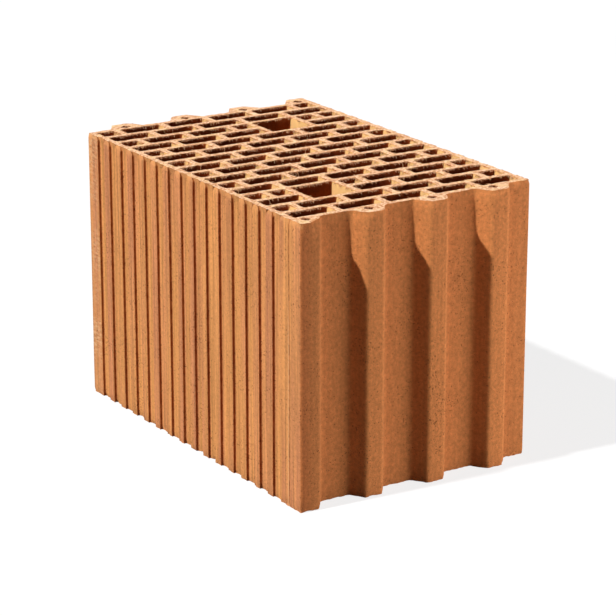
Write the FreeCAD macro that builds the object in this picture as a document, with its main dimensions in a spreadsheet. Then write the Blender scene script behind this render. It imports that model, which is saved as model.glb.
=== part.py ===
import FreeCAD, Part
import os
import Sketcher

# Hollow clay block: one extruded and fired piece, wire-cut to height, holes upright.
# X runs along the wall, Y across it, Z up; the origin is the middle of the lower bed face.
# Tongued ends face +X and -X, plaster-keyed long faces face -Y and +Y.

# Driving sizes in millimetres: name, value, meaning
DRIVING_SIZES = [
    ("length_over_tongues", 376.0, "end to end, tongue crest to tongue crest"),
    ("width", 240.0, "across the wall, which is the wall's thickness"),
    ("height", 249.0, "bed face to bed face"),
    ("tongue_depth", 13.5, "how far a tongue stands out of the end recesses"),
    ("tongue_crest", 17.0, "flat width of a tongue's crest"),
    ("tongue_flank", 8.8, "width that one sloping flank takes up"),
    ("tongue_pitch", 63.0, "tongue to tongue across the end"),
    ("tongue_shift", 16.5, "middle of the block to the tongue next to it"),
    ("crest_radius", 2.5, "rounding of a tongue's crest edges"),
    ("foot_radius", 4.5, "hollow rounding where a flank meets the recess"),
    ("corner_radius", 2.0, "rounding of the four upright corners"),
    ("end_shell", 6.6, "clay between an end recess and the first slots"),
    ("face_shell", 7.0, "clay between a long face and the nearest slots"),
    ("web_between_columns", 6.6, "clay between neighbouring columns of slots"),
    ("web_within_column", 7.0, "clay between the slots of one column"),
    ("slot_chamfer", 1.3, "bevel across the corners of slots and grip holes"),
    ("grip_margin", 0.8, "how far a grip hole reaches past the slots it takes up"),
    ("groove_mouth", 11.6, "width of a keying groove at the face"),
    ("groove_floor", 10.2, "width of a keying groove at its floor"),
    ("groove_depth", 2.4, "depth of a keying groove"),
    ("tongue_hole", 8.6, "corner to corner of the diamond hole in each tongue"),
    ("tongue_hole_inset", 12.0, "tongue crest to the middle of that hole"),
    ("corner_hole_inset", 12.0, "long face to the middle of the corner tongue's hole"),
]

COLUMNS = 16            # columns of slots along the block; even ones are set half a slot over
ROWS = 5                # whole slots in an odd column
WHOLE_TONGUES = 3       # tongues on each end besides the one on the corner
NODE = "clay_block"

# What follows from them: name, formula, meaning
DERIVED_SIZES = [
    ("crest_plane", "length_over_tongues / 2", "middle of the block to the tongue crests"),
    ("recess_plane", "crest_plane - tongue_depth", "middle of the block to an end recess"),
    ("half_width", "width / 2", "middle of the block to a long face"),
    ("half_crest", "tongue_crest / 2", "middle of a tongue to the edge of its crest"),
    ("half_foot", "half_crest + tongue_flank", "middle of a tongue to the foot of its flank"),
    ("hole_reach", "tongue_hole / 2", "middle of a tongue's hole to its corners"),
    ("column_pitch", f"(2 * (recess_plane - end_shell) + web_between_columns) / {COLUMNS}",
     "column to column"),
    ("row_pitch", f"(width - 2 * face_shell + web_within_column) / {ROWS}", "slot to slot in a column"),
    ("slot_width", "column_pitch - web_between_columns", "slot size along the wall"),
    ("slot_length", "row_pitch - web_within_column", "slot size across the wall"),
    ("half_slot_length", "row_pitch / 2 - web_within_column", "half slot size across the wall"),
    ("grip_width", "column_pitch + slot_width + 2 * grip_margin", "grip hole size along the wall"),
    ("grip_length", "slot_length + 2 * grip_margin", "grip hole size across the wall"),
]

doc = FreeCAD.newDocument("hollow_clay_block")
sheet = doc.addObject("Spreadsheet::Sheet", "sizes")
driving_cells = [(name, str(value), meaning) for name, value, meaning in DRIVING_SIZES]
derived_cells = [(name, f"={formula}", meaning) for name, formula, meaning in DERIVED_SIZES]
for row, (name, content, meaning) in enumerate(driving_cells + derived_cells, 1):
    sheet.set(f"A{row}", name)
    sheet.set(f"B{row}", content)
    sheet.set(f"C{row}", meaning)
    sheet.setAlias(f"B{row}", name)
doc.recompute()
NAMES = [cell[0] for cell in driving_cells + derived_cells]

body = doc.addObject("PartDesign::Body", NODE)
body.Label = NODE


def size(name):
    return float(sheet.get(name))


def bound(formula):
    """The formula with the name of each size pointing at its cell; words are set apart by spaces."""
    return " ".join(f"sizes.{word}" if word in NAMES else word for word in formula.split())


def value_of(formula):
    return float(sheet.evalExpression(bound(formula)))


def plan_sketch(name):
    plane = [item for item in body.Origin.OriginFeatures if item.Role == "XY_Plane"][0]
    sketch = body.newObject("Sketcher::SketchObject", name)
    sketch.AttachmentSupport = (plane, [""])
    sketch.MapMode = "FlatFace"
    return sketch


def distance(direction, line, formula):
    """How far the start of a line lies from the sketch's origin, on whichever side it is."""
    value = value_of(formula)
    if value < 0:
        return Sketcher.Constraint(direction, line, 1, -1, 1, -value), f"-1 * ( {formula} )"
    return Sketcher.Constraint(direction, -1, 1, line, 1, value), formula


def add_outline(sketch, corners):
    """A closed outline of straight lines; each corner is a pair of formulas."""
    points = [FreeCAD.Vector(value_of(x), value_of(y), 0) for x, y in corners]
    next_points = points[1:] + points[:1]
    lines = [sketch.addGeometry(Part.LineSegment(*ends)) for ends in zip(points, next_points)]
    next_lines = lines[1:] + lines[:1]
    sketch.addConstraint([Sketcher.Constraint("Coincident", line, 2, next_line, 1)
                          for line, next_line in zip(lines, next_lines)])
    tied = []
    for line, (x, y) in zip(lines, corners):
        tied.append(distance("DistanceX", line, x))
        tied.append(distance("DistanceY", line, y))
    first = sketch.ConstraintCount
    sketch.addConstraint([constraint for constraint, formula in tied])
    for index, (constraint, formula) in enumerate(tied, first):
        sketch.setExpression(f"Constraints[{index}]", bound(formula))


def pad(name, sketch):
    feature = body.newObject("PartDesign::Pad", name)
    feature.Profile = sketch
    feature.setExpression("Length", "sizes.height")
    doc.recompute()
    return feature


def cut_through(name, sketch):
    """Cut the outlines from bed face to bed face, and make sure that clay was removed."""
    before = body.Shape.Volume
    feature = body.newObject("PartDesign::Pocket", name)
    feature.Profile = sketch
    feature.Reversed = True
    feature.Refine = False
    feature.setExpression("Length", "sizes.height")
    doc.recompute()
    if body.Shape.Volume >= before:
        raise RuntimeError(f"{name} removed no clay")
    return feature


def row_along(name, feature, sketch, spacing, count):
    """Evenly spaced copies of a feature towards -X."""
    pattern = body.newObject("PartDesign::LinearPattern", name)
    pattern.Originals = [feature]
    pattern.Direction = (sketch, ["H_Axis"])
    pattern.Reversed = True
    pattern.Mode = "Spacing"
    pattern.setExpression("Offset", bound(spacing))
    pattern.Occurrences = count
    pattern.Refine = False
    body.Tip = pattern
    doc.recompute()


def half_turn(name, feature, sketch):
    """One copy of a feature, turned half round about the block's upright axis."""
    pattern = body.newObject("PartDesign::PolarPattern", name)
    pattern.Originals = [feature]
    pattern.Axis = (sketch, ["N_Axis"])
    pattern.Angle = 360
    pattern.Occurrences = 2
    body.Tip = pattern
    doc.recompute()


# The block between its two end recesses
core_outline = plan_sketch("core_outline")
add_outline(core_outline, [
    ("-1 * recess_plane", "-1 * half_width"),
    ("recess_plane", "-1 * half_width"),
    ("recess_plane", "half_width"),
    ("-1 * recess_plane", "half_width"),
])
pad("core", core_outline)

# Tongues of the +X end, and the same on the -X end; the one on the corner is cut off by the long face
TONGUES = [f"tongue_shift + tongue_pitch * {step}" for step in range(2 - WHOLE_TONGUES, 2)]
CORNER_TONGUE = f"tongue_shift - tongue_pitch * {WHOLE_TONGUES - 1}"
tongue_outlines = plan_sketch("tongue_outlines")
for tongue in TONGUES:
    add_outline(tongue_outlines, [
        ("recess_plane", f"{tongue} - half_foot"),
        ("crest_plane", f"{tongue} - half_crest"),
        ("crest_plane", f"{tongue} + half_crest"),
        ("recess_plane", f"{tongue} + half_foot"),
    ])
add_outline(tongue_outlines, [
    ("recess_plane", "-1 * half_width"),
    ("crest_plane", "-1 * half_width"),
    ("crest_plane", f"{CORNER_TONGUE} + half_crest"),
    ("recess_plane", f"{CORNER_TONGUE} + half_foot"),
])
tongues = pad("tongues", tongue_outlines)
half_turn("tongues_both_ends", tongues, tongue_outlines)

# Roundings left by the die
NEAR = 0.01


def on_long_face(x, y):
    return abs(abs(y) - size("half_width")) < NEAR


def on_crest(x, y):
    return abs(abs(x) - size("crest_plane")) < NEAR and not on_long_face(x, y)


def at_foot(x, y):
    return abs(abs(x) - size("recess_plane")) < NEAR and not on_long_face(x, y)


for name, radius, wanted in (("crest_rounding", "crest_radius", on_crest),
                             ("foot_rounding", "foot_radius", at_foot),
                             ("corner_rounding", "corner_radius", on_long_face)):
    base = body.Tip
    edges = []
    for index, edge in enumerate(base.Shape.Edges, 1):
        low, high = edge.Vertexes[0].Point, edge.Vertexes[-1].Point
        upright = abs(low.x - high.x) + abs(low.y - high.y) < NEAR < abs(low.z - high.z)
        if upright and wanted(low.x, low.y):
            edges.append(f"Edge{index}")
    rounding = body.newObject("PartDesign::Fillet", name)
    rounding.Base = (base, edges)
    rounding.setExpression("Radius", f"sizes.{radius}")
    body.Tip = rounding
    doc.recompute()

# Keying grooves over the webs between columns, on both long faces
FIRST_GROOVE = f"column_pitch * {COLUMNS // 2 - 1}"
groove_outlines = plan_sketch("groove_outlines")
for side in (-1, 1):
    add_outline(groove_outlines, [
        (f"{FIRST_GROOVE} - groove_mouth / 2", f"{side} * half_width"),
        (f"{FIRST_GROOVE} + groove_mouth / 2", f"{side} * half_width"),
        (f"{FIRST_GROOVE} + groove_floor / 2", f"{side} * ( half_width - groove_depth )"),
        (f"{FIRST_GROOVE} - groove_floor / 2", f"{side} * ( half_width - groove_depth )"),
    ])
grooves = cut_through("grooves", groove_outlines)
row_along("groove_row", grooves, groove_outlines, "column_pitch", COLUMNS - 1)

# A diamond hole in every tongue
HOLE_X = "crest_plane - tongue_hole_inset"
hole_outlines = plan_sketch("tongue_hole_outlines")
for hole_y in TONGUES + ["corner_hole_inset - half_width"]:
    add_outline(hole_outlines, [
        (f"{HOLE_X} - hole_reach", hole_y),
        (HOLE_X, f"{hole_y} - hole_reach"),
        (f"{HOLE_X} + hole_reach", hole_y),
        (HOLE_X, f"{hole_y} + hole_reach"),
    ])
tongue_holes = cut_through("tongue_holes", hole_outlines)
half_turn("tongue_holes_both_ends", tongue_holes, hole_outlines)


def add_slot(sketch, column, row, size_x="slot_width", size_y="slot_length"):
    """A bevelled rectangle. Columns count from 1 at the +X end, rows from 1 at the -Y face,
    both to the middle of the slot; a slot of an even column lies between two rows."""
    middle_x = f"column_pitch * {(COLUMNS + 1) / 2 - column}"
    middle_y = f"row_pitch * {row - (ROWS + 1) / 2}"
    corners = []
    for side_x, side_y in ((1, -1), (1, 1), (-1, 1), (-1, -1)):
        far_x, far_y = f"{middle_x} + {side_x} * {size_x} / 2", f"{middle_y} + {side_y} * {size_y} / 2"
        near_x, near_y = f"{far_x} - {side_x} * slot_chamfer", f"{far_y} - {side_y} * slot_chamfer"
        ends = [(near_x, far_y), (far_x, near_y)]
        corners += ends if side_x * side_y < 0 else ends[::-1]
    add_outline(sketch, corners)


WHOLE_ROWS = [1 + row for row in range(ROWS)]               # odd column: whole slots only
SET_OVER_ROWS = [1.5 + row for row in range(ROWS - 1)]      # even column: whole slots set half over
HALF_ROWS = [0.75, ROWS + 0.25]                             # and a half slot at either end
FROM_GRIP = 0.75            # rows from a grip hole's middle to the half slots beside it


def slot_cell(name, column, grip_row=None):
    """An odd column and the even one after it, cut in one go; a grip hole is as wide as both."""
    outlines = plan_sketch(f"{name}_outlines")
    odd_rows, even_rows, half_rows = list(WHOLE_ROWS), list(SET_OVER_ROWS), list(HALF_ROWS)
    if grip_row:
        add_slot(outlines, column + 0.5, grip_row, "grip_width", "grip_length")
        odd_rows.remove(grip_row)
        even_rows = [row for row in even_rows if abs(row - grip_row) > 1]
        half_rows += [grip_row - FROM_GRIP, grip_row + FROM_GRIP]
    for row in odd_rows:
        add_slot(outlines, column, row)
    for row in even_rows:
        add_slot(outlines, column + 1, row)
    for row in half_rows:
        add_slot(outlines, column + 1, row, size_y="half_slot_length")
    return outlines, cut_through(name, outlines)


# Pairs of columns with a grip hole, towards either end of the block
slot_cell("front_grip_cell", 3, grip_row=2)
slot_cell("rear_grip_cell", 13, grip_row=4)

# Plain pairs of columns: the first and last of the block, and the four between the grip holes
for name, first_column, pairs, pair_step in (("end_cells", 1, 2, 7), ("middle_cells", 5, 4, 1)):
    outlines, cell = slot_cell(name, first_column)
    row_along(f"{name}_row", cell, outlines, f"column_pitch * {2 * pair_step}", pairs)

# Checks before anything is written
for item in doc.Objects:
    if "Invalid" in item.State or "Error" in item.State:
        raise RuntimeError(f"{item.Name} did not build: {item.State}")
shape = body.Shape
if shape.isNull() or not shape.isValid() or len(shape.Solids) != 1:
    raise RuntimeError("the block is not one valid solid")

os.makedirs("parts", exist_ok=True)
shape.exportStep(f"parts/{body.Label}.step")
box = shape.BoundBox
print(f"{body.Label}: {box.XLength:.1f} x {box.YLength:.1f} x {box.ZLength:.1f} mm, "
      f"{shape.Volume / 1e6:.3f} litres of clay, {len(shape.Faces)} faces")
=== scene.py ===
import bmesh
import bpy
import math
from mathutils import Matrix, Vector


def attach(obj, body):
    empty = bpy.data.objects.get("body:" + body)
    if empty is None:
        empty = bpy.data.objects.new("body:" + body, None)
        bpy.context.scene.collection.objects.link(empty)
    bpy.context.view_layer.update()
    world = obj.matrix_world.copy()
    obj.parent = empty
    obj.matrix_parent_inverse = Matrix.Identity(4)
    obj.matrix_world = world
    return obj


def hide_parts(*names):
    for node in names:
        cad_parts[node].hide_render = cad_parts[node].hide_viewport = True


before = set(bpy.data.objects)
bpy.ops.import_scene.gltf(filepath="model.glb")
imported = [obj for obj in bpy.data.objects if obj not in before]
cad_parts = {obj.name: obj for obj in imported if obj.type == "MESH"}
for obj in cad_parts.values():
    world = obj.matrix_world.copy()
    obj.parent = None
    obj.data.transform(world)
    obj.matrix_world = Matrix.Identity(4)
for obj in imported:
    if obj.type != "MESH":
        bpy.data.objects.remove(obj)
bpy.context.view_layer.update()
blockNode = "clay_block"
mm = 0.001
scene = bpy.context.scene


# building node trees

rising = (0.0, 1.0)
falling = (1.0, 0.0)
eitherWay = (-1.0, 1.0)
noiseSpan = (0.3, 0.7)
upward = (0.0, 0.0, 1.0)
levelOnly = (1.0, 1.0, 0.0)
socketKinds = {float: "NodeSocketFloat", int: "NodeSocketInt", bpy.types.Material: "NodeSocketMaterial"}


def addNode(tree, kind, inputs=None, **settings):
    # an input is a constant, or the output of another node
    node = tree.nodes.new(kind)
    for name, value in settings.items():
        setattr(node, name, value)
    for key, value in (inputs or {}).items():
        if isinstance(value, bpy.types.NodeSocket):
            tree.links.new(value, node.inputs[key])
        else:
            node.inputs[key].default_value = value
    return node


def mathNode(tree, operation, *values):
    return addNode(tree, "ShaderNodeMath", dict(enumerate(values)), operation=operation).outputs[0]


def product(tree, first, *others):
    for value in others:
        first = mathNode(tree, "MULTIPLY", first, value)
    return first


def total(tree, first, *others):
    for value in others:
        first = mathNode(tree, "ADD", first, value)
    return first


def mapRange(tree, value, source, target, curve="LINEAR"):
    ends = {"Value": value, "From Min": source[0], "From Max": source[1],
            "To Min": target[0], "To Max": target[1]}
    return addNode(tree, "ShaderNodeMapRange", ends, interpolation_type=curve).outputs["Result"]


def mmSpan(low, high):
    return (low * mm, high * mm)


def vectorMath(tree, operation, *values):
    return addNode(tree, "ShaderNodeVectorMath", dict(enumerate(values)), operation=operation).outputs[0]


def scaledVector(tree, vector, amount):
    return addNode(tree, "ShaderNodeVectorMath", {"Vector": vector, "Scale": amount},
                   operation="SCALE").outputs[0]


def distanceTo(tree, position, place):
    node = addNode(tree, "ShaderNodeVectorMath", {0: position, 1: place}, operation="DISTANCE")
    return node.outputs["Value"]


def separated(tree, vector):
    return addNode(tree, "ShaderNodeSeparateXYZ", {0: vector}).outputs


def combined(tree, parts):
    return addNode(tree, "ShaderNodeCombineXYZ", parts).outputs[0]


def noise(tree, vector, scale, detail=1.0):
    return addNode(tree, "ShaderNodeTexNoise", {"Vector": vector, "Scale": scale, "Detail": detail}).outputs


def newGeometryTree(name, inputs):
    tree = bpy.data.node_groups.new(name, "GeometryNodeTree")
    tree.interface.new_socket("Geometry", in_out="INPUT", socket_type="NodeSocketGeometry")
    for label, value in inputs.items():
        tree.interface.new_socket(label, in_out="INPUT", socket_type=socketKinds[type(value)])
    tree.interface.new_socket("Geometry", in_out="OUTPUT", socket_type="NodeSocketGeometry")
    start = tree.nodes.new("NodeGroupInput")
    end = tree.nodes.new("NodeGroupOutput")
    return tree, start.outputs, end.inputs[0]


def drawnAttribute(tree, name, kind):
    return addNode(tree, "GeometryNodeInputNamedAttribute", {"Name": name}, data_type=kind).outputs[0]


def storeOnFaces(tree, geometry, name, value):
    return addNode(tree, "GeometryNodeStoreNamedAttribute", {
        "Geometry": geometry, "Name": name, "Value": value}, data_type="FLOAT", domain="FACE").outputs[0]


def moved(tree, geometry, offset):
    return addNode(tree, "GeometryNodeSetPosition", {"Geometry": geometry, "Offset": offset}).outputs[0]


def runTree(name, sourceMesh, tree, values):
    # put the tree on the source, set its inputs, and keep the result as a plain mesh
    carrier = bpy.data.objects.new(name + "Source", sourceMesh)
    scene.collection.objects.link(carrier)
    modifier = carrier.modifiers.new(tree.name, "NODES")
    modifier.node_group = tree
    identifiers = {item.name: item.identifier for item in tree.interface.items_tree
                   if item.item_type == "SOCKET" and item.in_out == "INPUT"}
    for label, value in values.items():
        modifier[identifiers[label]] = value
    evaluated = carrier.evaluated_get(bpy.context.evaluated_depsgraph_get())
    mesh = bpy.data.meshes.new_from_object(evaluated)
    carrier.modifiers.remove(modifier)
    bpy.data.objects.remove(carrier)
    mesh.name = name
    piece = bpy.data.objects.new(name, mesh)
    scene.collection.objects.link(piece)
    return piece


def ridesOnBlock(piece):
    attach(piece, "root")
    triangles = sum(len(polygon.vertices) - 2 for polygon in piece.data.polygons)
    print(f"{piece.name}: {triangles} triangles")


# the section: an outline and 96 holes, drawn in millimetres in the plan of the block

section = {
    "lengthOverTongues": 376.0, "width": 240.0, "height": 249.0,
    "tongueDepth": 13.5, "tongueCrest": 17.0, "tongueFlank": 8.8,
    "tonguePitch": 63.0, "tongueShift": 16.5, "tongueSteps": (-2, -1, 0, 1),
    "crestRadius": 4.0, "footRadius": 4.5, "cornerRadius": 2.0,
    "columns": 16, "rows": 5, "endShell": 6.6, "faceShell": 7.0, "columnWeb": 6.6, "rowWeb": 7.0,
    "slotRadius": 1.7, "gripMargin": 0.8, "gripColumns": (3, 13), "gripRows": (2, 4),
    "groovePairs": 7, "grooveMouth": 11.4, "grooveFloor": 12.0, "grooveDepth": 2.4,
    "grooveEdgeRadius": 0.5, "grooveFootRadius": 1.3,
    "seamFromEnd": 18.0, "seamWidth": 0.9, "seamDepth": 0.45,
    "tongueHole": 8.6, "tongueHoleInset": 12.0, "holeRadius": 0.8,
    "step": 2.6, "arcSteps": 3, "arcRoom": 0.45, "straightWithin": 0.02,
}
crestPlane = section["lengthOverTongues"] / 2
recessPlane = crestPlane - section["tongueDepth"]
halfWidth = section["width"] / 2
floorPlane = halfWidth - section["grooveDepth"]
seamPlane = crestPlane - section["seamFromEnd"]
columnPitch = (2 * (recessPlane - section["endShell"]) + section["columnWeb"]) / section["columns"]
rowPitch = (section["width"] - 2 * section["faceShell"] + section["rowWeb"]) / section["rows"]
slotWidth = columnPitch - section["columnWeb"]
slotLength = rowPitch - section["rowWeb"]
shortLength = rowPitch / 2 - section["rowWeb"]
grooveEnd = section["groovePairs"] * columnPitch + section["grooveMouth"]
tongueCentres = [section["tongueShift"] + section["tonguePitch"] * step for step in section["tongueSteps"]]

# steps along a column, in rows
slotRows = {"setOver": 0.5, "halfSlotOver": 0.25, "besideGrip": 0.75, "gripTakes": 0.6}

# a chip out of the upper edge of the front corner tongue, where the tone of the wall shows
cornerChip = {
    "place": Vector((crestPlane, tongueCentres[0] + section["tongueCrest"] / 2, section["height"])) * mm,
    "reach": 10.0 * mm, "cut": Vector((-5.5, -1.0, -0.6)) * mm, "wallWithin": 6.0 * mm, "bedShare": 0.1,
}


# fired clay: tones as a screen gives them, spots a metre, lengths in millimetres, and shares of a tone

even = (1.0, 1.0, 1.0)
clayTones = {
    "warm": (222, 151, 88), "pink": (210, 137, 91), "end": (212, 135, 77), "pit": (92, 42, 18),
    # 'corner' is a painted shade tint for the corner tongue
    "corner": (230, 200, 196), "scuff": (240, 190, 140), "lip": (230, 162, 100),
    # 'slot' is painted shade for the broad slot walls and the groove side walls; the slot end tone is
    # painted light
    "slot": (160, 115, 80), "slotEndPaintedLight": (250, 202, 132),
    "cut": (204, 140, 96), "cutPale": (255, 212, 172), "cutCream": (252, 212, 152),
}
claySpots = {
    "patches": {"scale": 60.0, "detail": 2.0, "stretch": (1.0, 1.0, 0.05)},
    "streaks": {"scale": 420.0, "detail": 3.0, "stretch": (1.0, 1.0, 0.02)},
    "scuffs": {"scale": 430.0, "detail": 3.0, "stretch": (0.35, 0.35, 1.0)},
    "blotches": {"scale": 340.0, "detail": 4.0, "stretch": even},
    "dashes": {"scale": 170.0, "detail": 2.0, "stretch": even},
    "grain": {"scale": 1300.0, "detail": 3.0, "stretch": even},
    "pits": {"scale": 640.0, "detail": 1.0, "stretch": even},
    "pitFields": {"scale": 26.0, "detail": 2.0, "stretch": even},
    "cutGrain": {"scale": 520.0, "detail": 6.0, "stretch": even},
    "cutPatches": {"scale": 85.0, "detail": 2.0, "stretch": even},
}
clayLook = {
    "longFaceSpan": (0.88, 0.98), "endStreaks": 0.25, "grooveMargin": 0.3, "landFrom": 157.0,
    "landRise": (0.6, 1.8), "landPink": 0.55, "patchSpan": (0.38, 0.62), "patchPink": (-0.4, 0.6),
    "streakShade": (-0.27, 0.2), "grainShade": (0.9, 1.1), "blotchShade": (-0.15, 0.14),
    "dashShade": (-0.06, 0.06), "mottle": (0.85, 0.6),
    "crestBand": (2.0, 0.6), "crestPaintedLight": 0.13,
    "cornerTongue": 95.0, "cornerFade": 104.0, "cornerShade": 0.5,
    "pitFieldShare": 0.35, "lineReach": (0.4, 2.0), "linePits": 0.075,
    "pitSpan": (0.65, 0.76), "pitShare": 0.6,
    "scuffFieldSpan": (0.4, 0.6), "scuffFieldShare": (0.2, 1.0), "scuffSpan": (0.45, 0.62),
    "scuffShare": (0.12, 0.65), "gougeSpan": (0.31, 0.38), "gougeShare": 0.4,
    "seamReach": 0.7, "dashSpan": (0.47, 0.6), "dashShare": (0.1, 0.65),
    "ridgeFromSeam": 1.2, "ridgeReach": 0.5, "ridgeFade": (149.4, 199.2), "ridgeShare": 0.5,
    "lipHeight": 5.4, "lipFade": 1.8, "lipShare": 0.45,
    "slotEndSpan": (0.5, 1.0), "slotEndLightShare": 0.8,
    "grooveSpan": (0.35, 0.65), "grooveShade": (0.24, 0.72),
    "cutSpan": (0.4, 0.6), "creamSpan": (0.52, 0.68), "creamShare": 0.5,
    "streakRelief": 0.35, "grainRelief": 0.4, "blotchRelief": 0.5, "pitRelief": -0.7, "cutRelief": 1.6,
    "bumpStrength": 0.6, "bumpDepth": 0.8, "roughness": 0.9, "specular": 0.2,
}


def tone(name):
    # a screen tone as the light values that the shader takes
    parts = [value / 255 for value in clayTones[name]]
    light = [part / 12.92 if part <= 0.04045 else ((part + 0.055) / 1.055) ** 2.4 for part in parts]
    return (*light, 1.0)


def mixColour(tree, share, first, second, blend="MIX"):
    colours = {0: share, 6: first, 7: second}
    return addNode(tree, "ShaderNodeMix", colours, data_type="RGBA", blend_type=blend).outputs[2]


def makeSpots(tree, place):
    spots = {}
    for name, values in claySpots.items():
        stretched = {"Vector": place, "Scale": values["stretch"]}
        spread = addNode(tree, "ShaderNodeMapping", stretched).outputs[0]
        spots[name] = noise(tree, spread, values["scale"], values["detail"])[0]
    return spots


def findPlaces(tree, place):
    # where on the block a point lies; 'longFace' falls to the share of streaks that the ends have
    look = clayLook
    parts = separated(tree, place)
    facing = separated(tree, addNode(tree, "ShaderNodeNewGeometry").outputs["Normal"])
    sideways = mathNode(tree, "ABSOLUTE", facing["Y"])
    longFace = mapRange(tree, sideways, look["longFaceSpan"], (look["endStreaks"], 1.0), "SMOOTHSTEP")
    outward = mathNode(tree, "ABSOLUTE", parts["Y"])
    return {
        "x": parts["X"], "y": parts["Y"], "z": parts["Z"], "outward": outward,
        "fromMiddle": mathNode(tree, "ABSOLUTE", parts["X"]),
        "longFace": longFace, "endFace": mapRange(tree, longFace, (look["endStreaks"], 1.0), falling),
        "inGroove": mathNode(tree, "GREATER_THAN", outward, (floorPlane - look["grooveMargin"]) * mm),
        "inSlot": addNode(tree, "ShaderNodeAttribute", attribute_name="inSlot").outputs["Fac"],
        "cutFace": addNode(tree, "ShaderNodeAttribute", attribute_name="cutFace").outputs["Fac"],
    }


def drawnTones(tree, spots, at):
    # the lands of the long faces pinker than the groove floors, the ends redder
    look = clayLook
    landSpan = mmSpan(*[floorPlane + rise for rise in look["landRise"]])
    land = mapRange(tree, at["outward"], landSpan, (0.0, look["landPink"]))
    pink = total(tree, land, mapRange(tree, spots["patches"], look["patchSpan"], look["patchPink"]))
    wall = mixColour(tree, pink, tone("warm"), tone("pink"))
    return mixColour(tree, at["endFace"], wall, tone("end"))


def drawnShades(tree, spots, at, wall):
    # streaks along the long faces, grain and mottling, painted light on the tongue crests, and painted shade
    # on the corner tongue
    look = clayLook
    streaked = mapRange(tree, spots["streaks"], noiseSpan, look["streakShade"])
    shade = mathNode(tree, "MULTIPLY_ADD", streaked, at["longFace"], 1.0)
    shade = product(tree, shade, mapRange(tree, spots["grain"], noiseSpan, look["grainShade"]))
    mottle = total(tree, mapRange(tree, spots["blotches"], noiseSpan, look["blotchShade"]),
                   mapRange(tree, spots["dashes"], noiseSpan, look["dashShade"]))
    strength = mapRange(tree, at["longFace"], (look["endStreaks"], 1.0), look["mottle"])
    shade = mathNode(tree, "MULTIPLY_ADD", product(tree, mottle, strength), shade, shade)

    # painted light: the tongue crests, except on the corner tongue, are made lighter than the recesses
    crestSpan = mmSpan(*[crestPlane - inset for inset in look["crestBand"]])
    crest = mapRange(tree, at["fromMiddle"], crestSpan, (0.0, look["crestPaintedLight"]))
    fromCorner = product(tree, at["y"], mathNode(tree, "SIGN", at["x"]))
    wholeTongue = mathNode(tree, "GREATER_THAN", fromCorner, -look["cornerTongue"] * mm)
    paintedCrestLight = product(tree, crest, wholeTongue, at["endFace"])
    shade = mathNode(tree, "MULTIPLY_ADD", paintedCrestLight, shade, shade)
    # painted shade: the corner tongue is darkened towards the front corner
    cornerSpan = mmSpan(-halfWidth, -look["cornerFade"])
    paintedCornerShade = mapRange(tree, fromCorner, cornerSpan, (look["cornerShade"], 0.0), "SMOOTHSTEP")
    wall = mixColour(tree, product(tree, paintedCornerShade, at["endFace"]), wall, tone("corner"), "MULTIPLY")
    return mixColour(tree, 1.0, wall, shade, "MULTIPLY")


def pitMask(tree, spots, at):
    # pits lie in fields, and along the edges of the grooves
    look = clayLook
    crowded = mathNode(tree, "SUBTRACT", spots["pits"], look["pitFieldShare"] / 2)
    crowded = mathNode(tree, "MULTIPLY_ADD", spots["pitFields"], look["pitFieldShare"], crowded)
    fromGroove = mathNode(tree, "PINGPONG", at["x"], columnPitch / 2 * mm)
    fromLine = mathNode(tree, "SUBTRACT", fromGroove, section["grooveMouth"] / 2 * mm)
    nearLine = mapRange(tree, mathNode(tree, "ABSOLUTE", fromLine), mmSpan(*look["lineReach"]),
                        (look["linePits"], 0.0))
    crowded = total(tree, crowded, product(tree, nearLine, at["inGroove"], at["longFace"]))
    return mapRange(tree, crowded, look["pitSpan"], (0.0, look["pitShare"]), "SMOOTHSTEP")


def scuffFarLand(tree, spots, at, wall):
    # pale scuffs and dark gouges across the far land of the front long face
    look = clayLook
    beyond = mathNode(tree, "LESS_THAN", at["x"], -look["landFrom"] * mm)
    inFront = mathNode(tree, "LESS_THAN", at["y"], -floorPlane * mm)
    fields = mapRange(tree, spots["pitFields"], look["scuffFieldSpan"], look["scuffFieldShare"])
    farLand = product(tree, beyond, inFront, fields)
    scuffed = mapRange(tree, spots["scuffs"], look["scuffSpan"], look["scuffShare"], "SMOOTHSTEP")
    wall = mixColour(tree, product(tree, farLand, scuffed), wall, tone("scuff"))
    gouged = mapRange(tree, spots["scuffs"], look["gougeSpan"], (look["gougeShare"], 0.0), "SMOOTHSTEP")
    return mixColour(tree, product(tree, farLand, gouged), wall, tone("pit"))


def markSeam(tree, spots, at, wall):
    # dark dashes in the thin seam, and a pale line beside its lower part
    look = clayLook
    alongFace = product(tree, at["x"], mathNode(tree, "SIGN", at["y"]))
    inSeam = mathNode(tree, "COMPARE", alongFace, -seamPlane * mm, look["seamReach"] * mm)
    dashed = mapRange(tree, spots["dashes"], look["dashSpan"], look["dashShare"], "SMOOTHSTEP")
    wall = mixColour(tree, product(tree, inSeam, at["inGroove"], dashed), wall, tone("pit"))
    onRidge = mathNode(tree, "COMPARE", alongFace, (look["ridgeFromSeam"] - seamPlane) * mm,
                       look["ridgeReach"] * mm)
    lowDown = mapRange(tree, at["z"], mmSpan(*look["ridgeFade"]), (look["ridgeShare"], 0.0))
    return mixColour(tree, product(tree, onRidge, at["inGroove"], lowDown), wall, tone("scuff"))


def lipMask(tree, spots, at):
    # a lip of dragged clay under the upper bed, with an uneven lower edge
    look = clayLook
    underBed = mathNode(tree, "SUBTRACT", section["height"] * mm, at["z"])
    lipEdge = mapRange(tree, spots["dashes"], noiseSpan,
                       mmSpan(look["lipHeight"] - look["lipFade"], look["lipHeight"]))
    aboveEdge = mathNode(tree, "SUBTRACT", lipEdge, underBed)
    return product(tree, mapRange(tree, aboveEdge, mmSpan(0.0, look["lipFade"]), rising), at["inGroove"])


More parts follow.
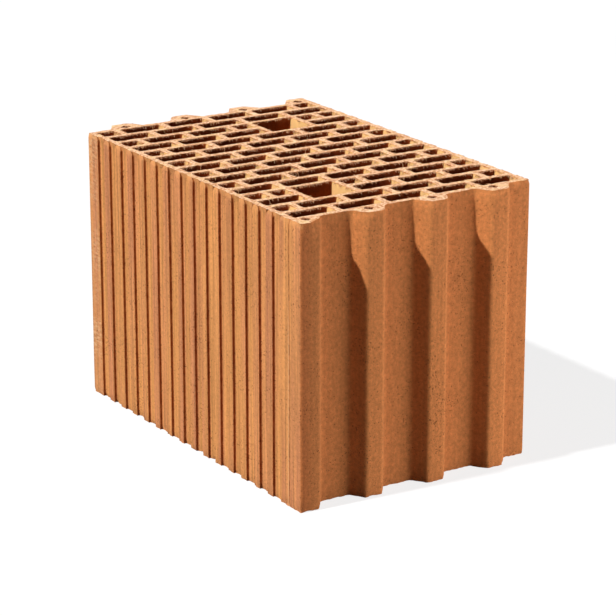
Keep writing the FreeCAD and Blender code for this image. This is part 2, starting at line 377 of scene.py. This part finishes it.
def paintHollowShadeAndLight(tree, spots, at, lip, wall):
    # painted shade darkens the broad walls of the slots and the side walls of the grooves; painted light
    # makes the end walls of the slots paler
    look = clayLook
    # painted light: the end walls of the slots are made paler
    slotEndPaintedLight = mapRange(tree, at["longFace"], look["slotEndSpan"], (0.0, look["slotEndLightShare"]))
    wall = mixColour(tree, product(tree, at["inSlot"], slotEndPaintedLight), wall, tone("slotEndPaintedLight"))
    # painted shade: the broad slot walls and the groove side walls are darkened
    betweenLands = mathNode(tree, "LESS_THAN", at["fromMiddle"], look["landFrom"] * mm)
    belowLip = mathNode(tree, "SUBTRACT", 1.0, lip)
    uneven = mapRange(tree, spots["dashes"], look["grooveSpan"], look["grooveShade"])
    grooveSidePaintedShade = product(tree, at["inGroove"], betweenLands, belowLip, uneven)
    paintedShade = product(tree, mathNode(tree, "MAXIMUM", at["inSlot"], grooveSidePaintedShade), at["endFace"])
    return mixColour(tree, paintedShade, wall, tone("slot"), "MULTIPLY")


def cutTones(tree, spots):
    # wire-cut bed faces: paler, with cream patches
    look = clayLook
    pale = mapRange(tree, spots["cutGrain"], look["cutSpan"], rising)
    cut = mixColour(tree, pale, tone("cut"), tone("cutPale"))
    cream = mapRange(tree, spots["cutPatches"], look["creamSpan"], (0.0, look["creamShare"]))
    return mixColour(tree, cream, cut, tone("cutCream"))


def clayRelief(tree, spots, at, pits):
    heights = {
        "streakRelief": product(tree, spots["streaks"], at["longFace"]), "grainRelief": spots["grain"],
        "blotchRelief": spots["blotches"], "pitRelief": pits,
        "cutRelief": product(tree, spots["cutGrain"], at["cutFace"]),
    }
    relief = 0.0
    for name, height in heights.items():
        relief = mathNode(tree, "MULTIPLY_ADD", height, clayLook[name], relief)
    return relief


def makeFiredClay():
    material = bpy.data.materials.new("firedClay")
    material.use_nodes = True
    tree = material.node_tree
    shader = tree.nodes["Principled BSDF"]
    place = addNode(tree, "ShaderNodeTexCoord").outputs["Object"]
    spots = makeSpots(tree, place)
    at = findPlaces(tree, place)
    pits = pitMask(tree, spots, at)
    lip = lipMask(tree, spots, at)

    wall = drawnTones(tree, spots, at)
    wall = drawnShades(tree, spots, at, wall)
    wall = mixColour(tree, pits, wall, tone("pit"))
    wall = scuffFarLand(tree, spots, at, wall)
    wall = markSeam(tree, spots, at, wall)
    wall = mixColour(tree, product(tree, lip, clayLook["lipShare"]), wall, tone("lip"))
    wall = paintHollowShadeAndLight(tree, spots, at, lip, wall)
    offChip = mapRange(tree, distanceTo(tree, place, cornerChip["place"]),
                       (cornerChip["wallWithin"], cornerChip["reach"]), (cornerChip["bedShare"], 1.0))
    colour = mixColour(tree, product(tree, at["cutFace"], offChip), wall, cutTones(tree, spots))
    tree.links.new(colour, shader.inputs["Base Color"])

    bump = addNode(tree, "ShaderNodeBump", {
        "Height": clayRelief(tree, spots, at, pits), "Strength": clayLook["bumpStrength"],
        "Distance": clayLook["bumpDepth"] * mm})
    tree.links.new(bump.outputs[0], shader.inputs["Normal"])
    shader.inputs["Roughness"].default_value = clayLook["roughness"]
    shader.inputs["Specular IOR Level"].default_value = clayLook["specular"]
    return material


firedClay = makeFiredClay()
print("fired clay mixed")


# drawing the section

def turned(points):
    # the same shape half a turn round the middle of the block
    return [(-x, -y, radius) for x, y, radius in points]


def facePath():
    # the long face at -Y, with its keying grooves and the seam, from the left end to the right
    mouthHalf = section["grooveMouth"] / 2
    floorHalf = section["grooveFloor"] / 2
    seamHalf = section["seamWidth"] / 2
    edge, foot = section["grooveEdgeRadius"], section["grooveFootRadius"]
    path = [(-recessPlane, -halfWidth, section["cornerRadius"])]
    for k in range(-section["groovePairs"], section["groovePairs"] + 1):
        x = k * columnPitch
        path += [(x - mouthHalf, -halfWidth, edge), (x - floorHalf, -floorPlane, foot),
                 (x + floorHalf, -floorPlane, foot), (x + mouthHalf, -halfWidth, edge)]
    path += [(seamPlane - seamHalf, -halfWidth, 0.0), (seamPlane, section["seamDepth"] - halfWidth, 0.0),
             (seamPlane + seamHalf, -halfWidth, 0.0)]
    return path


def endPath():
    # the tongued end at +X, from the corner tongue to the far corner, which starts the other half
    path = [(crestPlane, -halfWidth, section["cornerRadius"])]
    for k, centre in enumerate(tongueCentres):
        for side in (-1, 1):
            crest = (crestPlane, centre + side * section["tongueCrest"] / 2, section["crestRadius"])
            foot = (recessPlane, crest[1] + side * section["tongueFlank"], section["footRadius"])
            if k > 0 or side > 0:
                path += [foot, crest] if side < 0 else [crest, foot]
    return path


def rectangle(x, y, alongX, alongY, radius):
    halfX, halfY = alongX / 2, alongY / 2
    return [(x - halfX, y - halfY, radius), (x + halfX, y - halfY, radius),
            (x + halfX, y + halfY, radius), (x - halfX, y + halfY, radius)]


def diamond(x, y):
    reach, radius = section["tongueHole"] / 2, section["holeRadius"]
    return [(x - reach, y, radius), (x, y - reach, radius), (x + reach, y, radius), (x, y + reach, radius)]


def columnX(column):
    return columnPitch * ((section["columns"] + 1) / 2 - column)


def rowY(row):
    return rowPitch * (row - (section["rows"] + 1) / 2)


def slotPlaces():
    # column, row and length of every slot; the even columns are set half a slot over
    places = []
    gripRow = {}
    lastRow = section["rows"]
    for first, row in zip(section["gripColumns"], section["gripRows"]):
        gripRow[first] = gripRow[first + 1] = row
    for column in range(1, section["columns"] + 1):
        isSetOver = column % 2 == 0
        rows = range(1, lastRow + 1)
        if isSetOver:
            rows = [row + slotRows["setOver"] for row in range(1, lastRow)]
        grip = gripRow.get(column, -1)
        places += [(column, row, slotLength) for row in rows if abs(row - grip) > slotRows["gripTakes"]]
        if isSetOver:
            outerRows = (1 - slotRows["halfSlotOver"], lastRow + slotRows["halfSlotOver"])
            places += [(column, row, shortLength) for row in outerRows]
            if column in gripRow:
                places += [(column, grip + side * slotRows["besideGrip"], shortLength) for side in (-1, 1)]
    return places


def rounded(corner, before, after):
    # an arc over the corner, tangent to its two sides; a sharp turn keeps the radius it has room for
    x, y, radius = corner
    place = Vector((x, y))
    back = Vector(before[:2]) - place
    ahead = Vector(after[:2]) - place
    half = back.angle(ahead) / 2
    if radius == 0 or math.pi / 2 - half < section["straightWithin"]:
        return [place]
    cut = min(radius / math.tan(half), back.length * section["arcRoom"], ahead.length * section["arcRoom"])
    radius = cut * math.tan(half)
    middle = place + (back.normalized() + ahead.normalized()).normalized() * (radius / math.sin(half))
    start = place + back.normalized() * cut - middle
    stop = place + ahead.normalized() * cut - middle
    steps = section["arcSteps"]
    return [middle + start.slerp(stop, k / steps) * radius for k in range(steps + 1)]


def loopPoints(corners):
    # round the corners, then split long sides into steps
    count = len(corners)
    line = []
    for k in range(count):
        line += rounded(corners[k], corners[k - 1], corners[(k + 1) % count])
    points = []
    for k in range(len(line)):
        start, stop = line[k], line[(k + 1) % len(line)]
        pieces = max(1, round((stop - start).length / section["step"]))
        points += [start.lerp(stop, j / pieces) for j in range(pieces)]
    return points


def loopMesh(name, loops, slotsFrom):
    # closed loops of edges at the floor; 'inward' points from the loop into the clay on its left
    mesh = bpy.data.meshes.new(name)
    vertices, edges, inward, inSlot = [], [], [], []
    for number, points in enumerate(loops):
        first, count = len(vertices), len(points)
        for k, point in enumerate(points):
            along = points[(k + 1) % count] - points[k - 1]
            along.normalize()
            vertices.append((point.x * mm, point.y * mm, 0.0))
            edges.append((first + k, first + (k + 1) % count))
            inward += [-along.y, along.x, 0.0]
            inSlot.append(1.0 if number >= slotsFrom else 0.0)
    mesh.from_pydata(vertices, edges, [])
    mesh.attributes.new("inward", "FLOAT_VECTOR", "POINT").data.foreach_set("vector", inward)
    mesh.attributes.new("inSlot", "FLOAT", "POINT").data.foreach_set("value", inSlot)
    return mesh


halfOutline = facePath() + endPath()
outlineLoop = loopPoints(halfOutline + turned(halfOutline))
slotLoops = []
for column, row, length in slotPlaces():
    slotLoops.append(rectangle(columnX(column), rowY(row), slotWidth, length, section["slotRadius"]))
gripWidth = columnPitch + slotWidth + 2 * section["gripMargin"]
gripLength = slotLength + 2 * section["gripMargin"]
for first, row in zip(section["gripColumns"], section["gripRows"]):
    gripX = (columnX(first) + columnX(first + 1)) / 2
    slotLoops.append(rectangle(gripX, rowY(row), gripWidth, gripLength, section["slotRadius"]))
holeX = crestPlane - section["tongueHoleInset"]
holeYs = [section["tongueHoleInset"] - halfWidth] + tongueCentres[1:]
tongueHoles = [diamond(holeX, y) for y in holeYs]
tongueHoles += [turned(corners) for corners in tongueHoles]
holeLoops = [loopPoints(corners)[::-1] for corners in slotLoops + tongueHoles]
print(f"section drawn: {len(outlineLoop)} outline points, {len(holeLoops)} holes")


# the block itself: the section drawn upwards, capped, and worn at its cut edges

blockWear = {
    "inputs": {
        "Height": section["height"] * mm, "Levels": 16, "Crowding": 0.97,
        "Edge Wear": 0.55 * mm, "Edge Reach": 1.8 * mm, "Outer Wear": 0.75 * mm, "Outer Reach": 3.7 * mm,
        "Ragged": 0.75 * mm, "Bow": 0.5 * mm, "Streak": 0.07 * mm,
        "Chip": 1.4 * mm, "Chip Reach": 4.0 * mm, "Foot Nick": 1.1 * mm,
        "Lip": 0.75, "Lip Reach": 4.4 * mm, "Clay": firedClay,
    },
    "raggedScale": 260.0, "raggedDetail": 2.0, "chipScale": 75.0, "bowScale": 11.0, "streakScale": 330.0,
    "chipSpan": (0.66, 0.86), "nickSpan": (0.56, 0.78), "noBow": (0.5, 0.5, 0.5), "lipMargin": 0.2 * mm,
    "mergeWithin": 0.01 * mm, "sharpFrom": math.radians(38),
}


def drawnWalls(tree, given):
    # the loops extruded level by level to a height of one
    repeatStart = tree.nodes.new("GeometryNodeRepeatInput")
    repeatEnd = tree.nodes.new("GeometryNodeRepeatOutput")
    repeatStart.pair_with_output(repeatEnd)
    repeatEnd.repeat_items.new("BOOLEAN", "Top")
    tree.links.new(given["Levels"], repeatStart.inputs["Iterations"])
    tree.links.new(given["Geometry"], repeatStart.inputs["Geometry"])
    repeatStart.inputs["Top"].default_value = True
    levelStep = mathNode(tree, "DIVIDE", 1.0, given["Levels"])
    direction = addNode(tree, "FunctionNodeInputVector", vector=upward).outputs[0]
    rise = addNode(tree, "GeometryNodeExtrudeMesh", {
        "Mesh": repeatStart.outputs["Geometry"], "Selection": repeatStart.outputs["Top"],
        "Offset": direction, "Offset Scale": levelStep}, mode="EDGES")
    tree.links.new(rise.outputs["Mesh"], repeatEnd.inputs["Geometry"])
    tree.links.new(rise.outputs["Top"], repeatEnd.inputs["Top"])
    return repeatEnd.outputs["Geometry"]


def filledBeds(tree, loops):
    # the loops filled at both heights, with the holes left open
    curves = addNode(tree, "GeometryNodeMeshToCurve", {"Mesh": loops}).outputs[0]
    lowerBed = addNode(tree, "GeometryNodeFillCurve", {"Curve": curves}).outputs[0]
    lifted = {"Geometry": lowerBed, "Translation": upward}
    upperBed = addNode(tree, "GeometryNodeTransform", lifted).outputs[0]
    beds = addNode(tree, "GeometryNodeJoinGeometry")
    tree.links.new(lowerBed, beds.inputs[0])
    tree.links.new(upperBed, beds.inputs[0])
    return storeOnFaces(tree, beds.outputs[0], "cutFace", 1.0)


def readLoops(tree, loops, flat):
    # the direction into the clay, and whether this is a slot, from the nearest point of the drawn loops
    nearest = addNode(tree, "GeometryNodeSampleNearest", {"Geometry": loops, "Sample Position": flat},
                      domain="POINT").outputs[0]
    found = {}
    for name, kind in (("inward", "FLOAT_VECTOR"), ("inSlot", "FLOAT")):
        sample = {"Geometry": loops, "Value": drawnAttribute(tree, name, kind), "Index": nearest}
        node = addNode(tree, "GeometryNodeSampleIndex", sample, data_type=kind, domain="POINT")
        found[name] = node.outputs[0]
    return found


def edgeWear(tree, given, at):
    # cut edges drawn in and ragged, a few chips, and walls that streak a little
    edgeReach = mapRange(tree, at["inSlot"], rising, (given["Outer Reach"], given["Edge Reach"]))
    fromBed = mathNode(tree, "MINIMUM", at["z"], at["underBed"])
    nearEdge = mapRange(tree, fromBed, (0.0, edgeReach), falling, "SMOOTHSTEP")
    nearChip = mapRange(tree, fromBed, (0.0, given["Chip Reach"]), falling, "SMOOTHSTEP")
    small = noise(tree, at["position"], blockWear["raggedScale"], blockWear["raggedDetail"])[0]
    lines = noise(tree, at["flat"], blockWear["streakScale"])[0]
    wear = mapRange(tree, at["inSlot"], rising, (given["Outer Wear"], given["Edge Wear"]))
    chips = mapRange(tree, at["broad"], blockWear["chipSpan"], rising)
    worn = product(tree, nearEdge, wear)
    ragged = product(tree, nearEdge, given["Ragged"], mapRange(tree, small, noiseSpan, eitherWay))
    chipped = product(tree, nearChip, given["Chip"], chips)
    streaked = product(tree, given["Streak"], mapRange(tree, lines, noiseSpan, eitherWay))
    return scaledVector(tree, at["inward"], total(tree, worn, ragged, chipped, streaked))


def wallBow(tree, given, at):
    slow = noise(tree, at["position"], blockWear["bowScale"])["Color"]
    bowed = scaledVector(tree, vectorMath(tree, "SUBTRACT", slow, blockWear["noBow"]), given["Bow"])
    return vectorMath(tree, "MULTIPLY", bowed, levelOnly)


def footNicks(tree, given, at):
    # nicks that lift the lower edge here and there
    nearFoot = mapRange(tree, at["z"], (0.0, given["Edge Reach"]), falling, "SMOOTHSTEP")
    nicks = mapRange(tree, at["broad"], blockWear["nickSpan"], rising)
    return combined(tree, {"Z": product(tree, nearFoot, given["Foot Nick"], nicks)})


def chipCut(tree, at):
    fromChip = distanceTo(tree, at["position"], cornerChip["place"])
    inChip = mapRange(tree, fromChip, (0.0, cornerChip["reach"]), falling, "SMOOTHSTEP")
    return scaledVector(tree, cornerChip["cut"], inChip)


def draggedLip(tree, given, at):
    # clay that the wire has dragged out, so that the grooves are shallower just under the upper bed
    depth = mathNode(tree, "SUBTRACT", halfWidth * mm, mathNode(tree, "ABSOLUTE", at["y"]))
    inGroove = mathNode(tree, "LESS_THAN", depth, section["grooveDepth"] * mm + blockWear["lipMargin"])
    betweenLands = mathNode(tree, "LESS_THAN", mathNode(tree, "ABSOLUTE", at["x"]), grooveEnd * mm)
    nearTop = mapRange(tree, at["underBed"], (0.0, given["Lip Reach"]), (given["Lip"], 0.0), "SMOOTHSTEP")
    outwards = mathNode(tree, "SIGN", at["y"])
    return combined(tree, {"Y": product(tree, depth, nearTop, inGroove, betweenLands, outwards)})


def drawnBlockTree():
    tree, given, result = newGeometryTree("drawnBlock", blockWear["inputs"])
    loops = given["Geometry"]
    shell = addNode(tree, "GeometryNodeJoinGeometry")
    tree.links.new(drawnWalls(tree, given), shell.inputs[0])
    tree.links.new(filledBeds(tree, loops), shell.inputs[0])
    closed = addNode(tree, "GeometryNodeMergeByDistance", {
        "Geometry": shell.outputs[0], "Distance": blockWear["mergeWithin"]}).outputs[0]

    # heights: levels crowd together towards both beds, where the edges are worn
    position = addNode(tree, "GeometryNodeInputPosition").outputs[0]
    parts = separated(tree, position)
    turn = mathNode(tree, "SINE", product(tree, parts["Z"], math.tau))
    crowded = product(tree, turn, mathNode(tree, "DIVIDE", given["Crowding"], math.tau))
    height = product(tree, mathNode(tree, "SUBTRACT", parts["Z"], crowded), given["Height"])
    raised = combined(tree, {"X": parts["X"], "Y": parts["Y"], "Z": height})
    block = addNode(tree, "GeometryNodeSetPosition", {"Geometry": closed, "Position": raised}).outputs[0]

    # wear
    flat = vectorMath(tree, "MULTIPLY", position, levelOnly)
    at = {
        "position": position, "flat": flat, "x": parts["X"], "y": parts["Y"], "z": parts["Z"],
        "underBed": mathNode(tree, "SUBTRACT", given["Height"], parts["Z"]),
        "broad": noise(tree, position, blockWear["chipScale"])[0], **readLoops(tree, loops, flat),
    }
    offset = edgeWear(tree, given, at)
    for change in (wallBow(tree, given, at), footNicks(tree, given, at), chipCut(tree, at),
                   draggedLip(tree, given, at)):
        offset = vectorMath(tree, "ADD", offset, change)
    wornBlock = moved(tree, block, offset)
    smooth = addNode(tree, "GeometryNodeSetShadeSmooth", {"Geometry": wornBlock}).outputs[0]
    finish = addNode(tree, "GeometryNodeSetMaterial", {"Geometry": smooth, "Material": given["Clay"]})
    tree.links.new(finish.outputs[0], result)
    return tree


def makeBlock():
    loops = loopMesh("sectionLoops", [outlineLoop] + holeLoops, 1)
    piece = runTree("clayBlock", loops, drawnBlockTree(), blockWear["inputs"])
    shape = bmesh.new()
    shape.from_mesh(piece.data)
    bmesh.ops.recalc_face_normals(shape, faces=shape.faces)
    shape.to_mesh(piece.data)
    shape.free()
    piece.data.set_sharp_from_angle(angle=blockWear["sharpFrom"])
    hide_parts(blockNode)
    ridesOnBlock(piece)
    return piece


block = makeBlock()


# what the cutting wire leaves on the upper bed: burrs on the rims, threads over slots, loose crumbs

tornShare = 0.5
rimBurrs = {
    "inputs": {
        "Bed": section["height"] * mm, "Spacing": 0.6 * mm, "Share": 0.9, "Length": 2.2 * mm,
        "Thickness": 0.45 * mm, "Seed": 11, "Clay": firedClay,
    },
    "sink": 0.3 * mm, "trailingSpan": (-0.6, 0.2), "trailingShare": (1.0, 0.25),
    "clusterScale": 48.0, "clusterSpan": (0.4, 0.58), "clusterShare": (0.2, 1.0),
    "sides": 4, "rings": 2, "taper": 0.3, "sizes": (0.3, 1.15),
    "lean": ((-0.5, -0.6, -1.5), (0.5, 0.6, 0.4)),
}
clayThreads = {
    "inputs": {
        "Bed": section["height"] * mm, "Share": 0.22, "From Middle": slotWidth / 2 * mm, "Spread": 16.0 * mm,
        "Drop": 6.0 * mm, "Swing": 2.6 * mm, "Thickness": 0.34 * mm, "Seed": 5, "Clay": firedClay,
    },
    "root": (-0.8 * mm, 0.0, -0.2 * mm), "tipSwing": 0.7, "rings": 7, "sides": 5,
    "turns": (-0.7, 0.7), "sizes": (0.6, 1.1),
}
bedCrumbs = {
    "inputs": {"Density": 9000.0, "Size": 0.55 * mm, "Seed": 3, "Clay": firedClay},
    "facingUp": 0.9, "spins": ((0.0, 0.0, 0.0), (math.tau, math.tau, math.tau)),
    "sizes": ((0.4, 0.4, 0.25), (1.5, 1.2, 0.7)),
}


def randomValue(tree, span, seed, step):
    ends = {2: span[0], 3: span[1], "Seed": mathNode(tree, "ADD", seed, step)}
    return addNode(tree, "FunctionNodeRandomValue", ends, data_type="FLOAT").outputs[1]


def randomVector(tree, span, seed, step):
    ends = {0: span[0], 1: span[1], "Seed": mathNode(tree, "ADD", seed, step)}
    return addNode(tree, "FunctionNodeRandomValue", ends, data_type="FLOAT_VECTOR").outputs[0]


def finishInstances(tree, instances, clay, result):
    # torn bits take a share of the pale tone of the cut bed
    real = addNode(tree, "GeometryNodeRealizeInstances", {"Geometry": instances}).outputs[0]
    pale = storeOnFaces(tree, real, "cutFace", tornShare)
    finish = addNode(tree, "GeometryNodeSetMaterial", {"Geometry": pale, "Material": clay})
    tree.links.new(finish.outputs[0], result)


def rimBurrTree():
    burr = rimBurrs
    tree, given, result = newGeometryTree("rimBurrs", burr["inputs"])
    seed = given["Seed"]
    rims = addNode(tree, "GeometryNodeMeshToCurve", {"Mesh": given["Geometry"]}).outputs[0]
    points = addNode(tree, "GeometryNodeCurveToPoints", {"Curve": rims, "Length": given["Spacing"]},
                     mode="LENGTH").outputs[0]
    lift = mathNode(tree, "SUBTRACT", given["Bed"], burr["sink"])
    points = moved(tree, points, combined(tree, {"Z": lift}))

    # most burrs are in clusters on the edges that the wire left last, where the clay lies towards -X
    inward = drawnAttribute(tree, "inward", "FLOAT_VECTOR")
    trailing = mapRange(tree, separated(tree, inward)["X"], burr["trailingSpan"], burr["trailingShare"])
    position = addNode(tree, "GeometryNodeInputPosition").outputs[0]
    clusters = noise(tree, position, burr["clusterScale"])[0]
    clustered = mapRange(tree, clusters, burr["clusterSpan"], burr["clusterShare"])
    chance = product(tree, clustered, trailing, given["Share"])
    keep = mathNode(tree, "LESS_THAN", randomValue(tree, rising, seed, 0), chance)

    sliver = addNode(tree, "GeometryNodeMeshCone", {
        "Vertices": burr["sides"], "Side Segments": burr["rings"],
        "Radius Top": product(tree, given["Thickness"], burr["taper"]), "Radius Bottom": given["Thickness"],
        "Depth": given["Length"]}, fill_type="NGON").outputs[0]
    direction = vectorMath(tree, "SUBTRACT", randomVector(tree, burr["lean"], seed, 1), inward)
    rotation = addNode(tree, "FunctionNodeAlignRotationToVector", {"Vector": direction}, axis="Z").outputs[0]
    instances = addNode(tree, "GeometryNodeInstanceOnPoints", {
        "Points": points, "Selection": keep, "Instance": sliver, "Rotation": rotation,
        "Scale": randomValue(tree, burr["sizes"], seed, 2)}).outputs[0]
    finishInstances(tree, instances, given["Clay"], result)
    return tree


def clayThreadTree():
    thread = clayThreads
    tree, given, result = newGeometryTree("clayThreads", thread["inputs"])
    seed = given["Seed"]
    points = addNode(tree, "GeometryNodeMeshToPoints", {"Mesh": given["Geometry"]}).outputs[0]
    bend = combined(tree, {"X": given["Swing"]})
    tip = combined(tree, {"X": product(tree, given["Swing"], thread["tipSwing"]),
                          "Z": product(tree, given["Drop"], -1.0)})
    curve = addNode(tree, "GeometryNodeCurveQuadraticBezier", {
        "Resolution": thread["rings"], "Start": thread["root"], "Middle": bend, "End": tip}).outputs[0]
    profile = addNode(tree, "GeometryNodeCurvePrimitiveCircle", {
        "Resolution": thread["sides"], "Radius": given["Thickness"]}).outputs[0]
    strand = addNode(tree, "GeometryNodeCurveToMesh", {
        "Curve": curve, "Profile Curve": profile, "Fill Caps": True}).outputs[0]
    place = combined(tree, {
        "X": product(tree, given["From Middle"], -1.0),
        "Y": product(tree, given["Spread"], randomValue(tree, eitherWay, seed, 1)), "Z": given["Bed"]})
    turn = combined(tree, {"Z": randomValue(tree, thread["turns"], seed, 2)})
    keep = mathNode(tree, "LESS_THAN", randomValue(tree, rising, seed, 3), given["Share"])
    instances = addNode(tree, "GeometryNodeInstanceOnPoints", {
        "Points": moved(tree, points, place), "Selection": keep, "Instance": strand, "Rotation": turn,
        "Scale": randomValue(tree, thread["sizes"], seed, 4)}).outputs[0]
    finishInstances(tree, instances, given["Clay"], result)
    return tree


def bedCrumbTree():
    crumb = bedCrumbs
    tree, given, result = newGeometryTree("bedCrumbs", crumb["inputs"])
    seed = given["Seed"]
    normal = addNode(tree, "GeometryNodeInputNormal").outputs[0]
    onBed = mathNode(tree, "GREATER_THAN", separated(tree, normal)["Z"], crumb["facingUp"])
    scatter = addNode(tree, "GeometryNodeDistributePointsOnFaces", {
        "Mesh": given["Geometry"], "Selection": onBed, "Density": given["Density"],
        "Seed": seed}).outputs["Points"]
    ball = addNode(tree, "GeometryNodeMeshIcoSphere", {
        "Radius": given["Size"], "Subdivisions": 1}).outputs[0]
    instances = addNode(tree, "GeometryNodeInstanceOnPoints", {
        "Points": scatter, "Instance": ball, "Rotation": randomVector(tree, crumb["spins"], seed, 1),
        "Scale": randomVector(tree, crumb["sizes"], seed, 2)}).outputs[0]
    finishInstances(tree, instances, given["Clay"], result)
    return tree


def slotMiddles():
    mesh = bpy.data.meshes.new("slotMiddles")
    middles = [(columnX(column) * mm, rowY(row) * mm, 0.0) for column, row, length in slotPlaces()
               if length == slotLength]
    mesh.from_pydata(middles, [], [])
    return mesh


ridesOnBlock(runTree("rimBurrs", loopMesh("rimLoops", holeLoops, 0), rimBurrTree(), rimBurrs["inputs"]))
ridesOnBlock(runTree("clayThreads", slotMiddles(), clayThreadTree(), clayThreads["inputs"]))
ridesOnBlock(runTree("bedCrumbs", block.data.copy(), bedCrumbTree(), bedCrumbs["inputs"]))


# floor, light and camera

stageLook = {"floorSize": 12.0, "bounceTone": 0.13, "seenTone": 0.95, "floorGlow": 0.82, "skyTone": 0.045}
keyLight = {"toLight": (-0.05, -0.78, 1.0), "strength": 4.5, "angle": 2.0}
fillLight = {
    "place": (0.82, 0.71, 0.14), "size": 0.75, "height": 0.22, "power": 7.2, "colour": (1.0, 0.92, 0.92),
}
photoCamera = {
    "azimuth": 57.44, "elevation": 17.713, "distance": 2.3386, "lens": 152.37,
    "middle": (0.0, 0.0, 0.110), "right": 0.00585, "up": -0.00212,
}


def cameraRays(tree):
    path = addNode(tree, "ShaderNodeLightPath").outputs
    seen = mathNode(tree, "MAXIMUM", path["Is Camera Ray"], path["Is Glossy Ray"])
    return mathNode(tree, "MAXIMUM", seen, path["Is Transmission Ray"])


def makeFloor():
    material = bpy.data.materials.new("paleFloor")
    material.use_nodes = True
    tree = material.node_tree
    shader = tree.nodes["Principled BSDF"]
    seen = cameraRays(tree)
    grey = mapRange(tree, seen, rising, (stageLook["bounceTone"], stageLook["seenTone"]))
    tree.links.new(grey, shader.inputs["Base Color"])
    shader.inputs["Roughness"].default_value = 1.0
    shader.inputs["Specular IOR Level"].default_value = 0.0
    glow = addNode(tree, "ShaderNodeEmission", {"Strength": 1.0})
    share = product(tree, seen, stageLook["floorGlow"])
    both = addNode(tree, "ShaderNodeMixShader", {0: share, 1: shader.outputs[0], 2: glow.outputs[0]})
    tree.links.new(both.outputs[0], tree.nodes["Material Output"].inputs["Surface"])
    half = stageLook["floorSize"] / 2
    corners = [(-half, -half, 0), (half, -half, 0), (half, half, 0), (-half, half, 0)]
    mesh = bpy.data.meshes.new("floor")
    mesh.from_pydata(corners, [], [(0, 1, 2, 3)])
    mesh.materials.append(material)
    floor = bpy.data.objects.new("floor", mesh)
    scene.collection.objects.link(floor)


def makeSky():
    world = bpy.data.worlds.new("paleSky")
    world.use_nodes = True
    tree = world.node_tree
    level = mapRange(tree, cameraRays(tree), rising, (stageLook["skyTone"], 1.0))
    tree.links.new(level, tree.nodes["Background"].inputs["Strength"])
    tree.nodes["Background"].inputs["Color"].default_value = (1.0, 1.0, 1.0, 1.0)
    scene.world = world


def makeLights():
    key = bpy.data.lights.new("keyLight", "SUN")
    key.energy = keyLight["strength"]
    key.angle = math.radians(keyLight["angle"])
    keyObject = bpy.data.objects.new("keyLight", key)
    keyObject.rotation_euler = Vector(keyLight["toLight"]).to_track_quat("Z", "Y").to_euler()
    scene.collection.objects.link(keyObject)
    fill = bpy.data.lights.new("fillLight", "AREA")
    fill.shape = "RECTANGLE"
    fill.size = fillLight["size"]
    fill.size_y = fillLight["height"]
    fill.energy = fillLight["power"]
    fill.color = fillLight["colour"]
    fillObject = bpy.data.objects.new("fillLight", fill)
    fillObject.location = fillLight["place"]
    fillObject.rotation_euler = Vector(fillLight["place"]).to_track_quat("Z", "Y").to_euler()
    scene.collection.objects.link(fillObject)


def makeCamera():
    azimuth = math.radians(photoCamera["azimuth"])
    elevation = math.radians(photoCamera["elevation"])
    right = Vector((math.cos(azimuth), math.sin(azimuth), 0.0))
    back = Vector((math.sin(azimuth) * math.cos(elevation), -math.cos(azimuth) * math.cos(elevation),
                   math.sin(elevation)))
    up = back.cross(right)
    target = Vector(photoCamera["middle"]) + right * photoCamera["right"] + up * photoCamera["up"]
    data = bpy.data.cameras.new("photoCamera")
    data.lens = photoCamera["lens"]
    camera = bpy.data.objects.new("photoCamera", data)
    camera.location = target + back * photoCamera["distance"]
    camera.rotation_euler = (math.pi / 2 - elevation, 0.0, azimuth)
    scene.collection.objects.link(camera)
    scene.camera = camera


makeFloor()
makeSky()
makeLights()
makeCamera()
scene.view_settings.view_transform = "Standard"
print("stage, lights and camera set")
